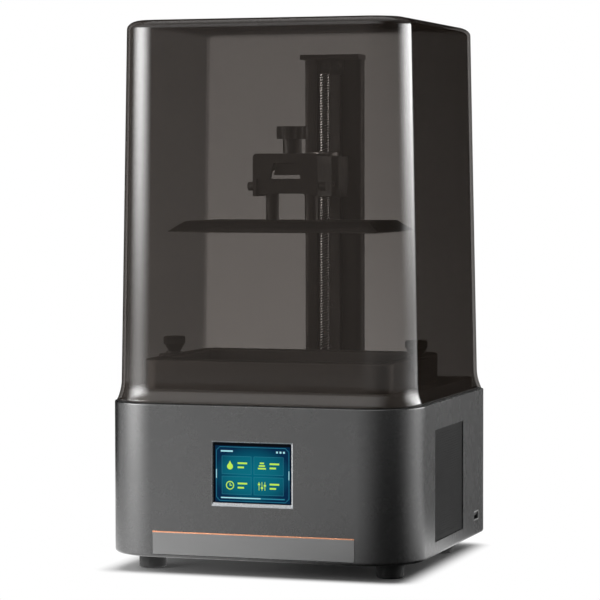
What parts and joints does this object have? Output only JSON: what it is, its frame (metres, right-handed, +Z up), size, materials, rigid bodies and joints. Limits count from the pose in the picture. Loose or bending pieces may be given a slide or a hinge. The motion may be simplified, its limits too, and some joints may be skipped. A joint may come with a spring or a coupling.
{
  "type": "resin printer",
  "caption": "Desktop resin printer: metal base with touch screen, smoky lift-off cover, resin vat, and a build plate on a screw-driven vertical axis with a clamp knob.",
  "frame": {"origin": "on the floor under the middle of the base", "axes": "+Z up, front with the screen towards -Y, +X to the right as seen from the front"},
  "size_m": [0.2354, 0.218, 0.4021],
  "materials": {
    "base_paint": "fine metallic gunmetal, satin",
    "under_plate": "black powder coat",
    "deck_paint": "light grey powder coat",
    "smoke_cover": "smoky translucent acrylic, glossy",
    "black_rubber": "matte",
    "strip_grey": "satin grey",
    "copper_line": "copper, satin",
    "vent_plastic": "matte, perforated",
    "bezel_grey": "satin",
    "screen_face": "glossy display, blue-green",
    "circuit_board": "solder mask",
    "bright_steel": "bright, turned",
    "dark_steel": "blackened",
    "dark_metal": "black anodised, bead blasted",
    "plate_metal": "anodised, brushed sides",
    "knob_plastic": "moulded",
    "vat_metal": "dark anodised",
    "washer_steel": "turned",
    "clear_film": "clear film",
    "mask_glass": "dark glass",
    "lens_clear": "moulded clear",
    "motor_steel": "dark laminations",
    "black_plastic": "moulded"
  },
  "bodies": {
    "base": {"base_housing": "base_paint", "bottom_plate": "under_plate", "top_deck": "deck_paint", "rubber_feet": "black_rubber", "cover_seal": "black_rubber", "front_strip": "strip_grey", "accent_line": "copper_line", "side_vent_panel": "vent_plastic", "display_bezel": "bezel_grey", "touch_display": "screen_face", "display_board": "circuit_board", "main_board": "circuit_board", "light_board": "circuit_board", "foot_screws": "bright_steel", "deck_screws": "bright_steel", "motor_screws": "bright_steel", "column_screws": "bright_steel", "usb_socket": "bright_steel", "linear_rail": "dark_steel", "rail_screws": "dark_steel", "cap_screws": "dark_steel", "z_column": "dark_metal", "column_cap": "dark_metal", "heat_sink": "dark_metal", "vat": "vat_metal", "film_frame": "vat_metal", "vat_film": "clear_film", "lcd_glass": "mask_glass", "lcd_panel": "mask_glass", "lens_array": "lens_clear", "stepper_motor": "motor_steel", "light_hood": "black_plastic", "inlet_tray": "black_plastic", "power_jack": "black_plastic", "switch_housing": "black_plastic", "rear_grille": "black_plastic", "fan_frame": "black_plastic", "limit_sensor": "black_plastic"},
    "cover": {"cover_shell": "smoke_cover"},
    "screw": {"lead_screw": "bright_steel"},
    "carriage": {"rail_block": "dark_steel", "carriage_block": "dark_metal", "carriage_arm": "dark_metal", "lead_nut": "bright_steel", "carriage_bolts": "dark_steel", "sensor_flag": "washer_steel"},
    "platform": {"print_plate": "plate_metal", "plate_posts": "dark_metal", "crossbar": "dark_metal", "clamp_head": "dark_metal", "side_bolts": "dark_steel"},
    "pad": {"clamp_pad": "dark_metal"},
    "knob": {"clamp_knob": "knob_plastic"},
    "left_washer": {"washer_left": "washer_steel"},
    "left_screw": {"vat_screw_left": "knob_plastic"},
    "right_washer": {"washer_right": "washer_steel"},
    "right_screw": {"vat_screw_right": "knob_plastic"},
    "fan": {"fan_rotor": "black_plastic"},
    "rocker": {"switch_rocker": "black_plastic"}
  },
  "joints": [
    {"name": "cover_lift", "type": "slide", "parent": "base", "child": "cover", "axis": [0, 0, 1], "range_m": [0, 0.28]},
    {"name": "z_travel", "type": "slide", "parent": "base", "child": "carriage", "axis": [0, 0, 1], "range_m": [-0.1112, 0.055]},
    {"name": "screw_turn", "type": "hinge", "parent": "base", "child": "screw", "pos_m": [0, 0.0634, 0.2], "axis": [0, 0, 1], "range_deg": [-2476, 5005]},
    {"name": "platform_release", "type": "slide", "parent": "carriage", "child": "platform", "axis": [0, -1, 0], "range_m": [0, 0.03]},
    {"name": "pad_lift", "type": "slide", "parent": "platform", "child": "pad", "axis": [0, 0, 1], "range_m": [0, 0.00301]},
    {"name": "knob_turn", "type": "hinge", "parent": "pad", "child": "knob", "pos_m": [0, -0.0154, 0.31], "axis": [0, 0, 1], "range_deg": [0, 864]},
    {"name": "left_washer_lift", "type": "slide", "parent": "base", "child": "left_washer", "axis": [0, 0, 1], "range_m": [0, 0.00241]},
    {"name": "left_screw_turn", "type": "hinge", "parent": "left_washer", "child": "left_screw", "pos_m": [-0.095, -0.0131, 0.16], "axis": [0, 0, 1], "range_deg": [0, 1080]},
    {"name": "right_washer_lift", "type": "slide", "parent": "base", "child": "right_washer", "axis": [0, 0, 1], "range_m": [0, 0.00241]},
    {"name": "right_screw_turn", "type": "hinge", "parent": "right_washer", "child": "right_screw", "pos_m": [0.095, -0.0131, 0.16], "axis": [0, 0, 1], "range_deg": [0, 1080]},
    {"name": "fan_spin", "type": "hinge", "parent": "base", "child": "fan", "pos_m": [-0.06275, 0.101, 0.068], "axis": [0, 1, 0], "continuous": true},
    {"name": "rocker_tip", "type": "hinge", "parent": "base", "child": "rocker", "pos_m": [0.08075, 0.1028, 0.051], "axis": [-1, 0, 0], "range_deg": [0, 16]}
  ],
  "couplings": [
    {"joint": "screw_turn", "follows": "z_travel", "rad_per_m": -785.4},
    {"joint": "pad_lift", "follows": "knob_turn", "m_per_rad": 0.00019894},
    {"joint": "left_washer_lift", "follows": "left_screw_turn", "m_per_rad": 0.00012732},
    {"joint": "right_washer_lift", "follows": "right_screw_turn", "m_per_rad": 0.00012732}
  ]
}
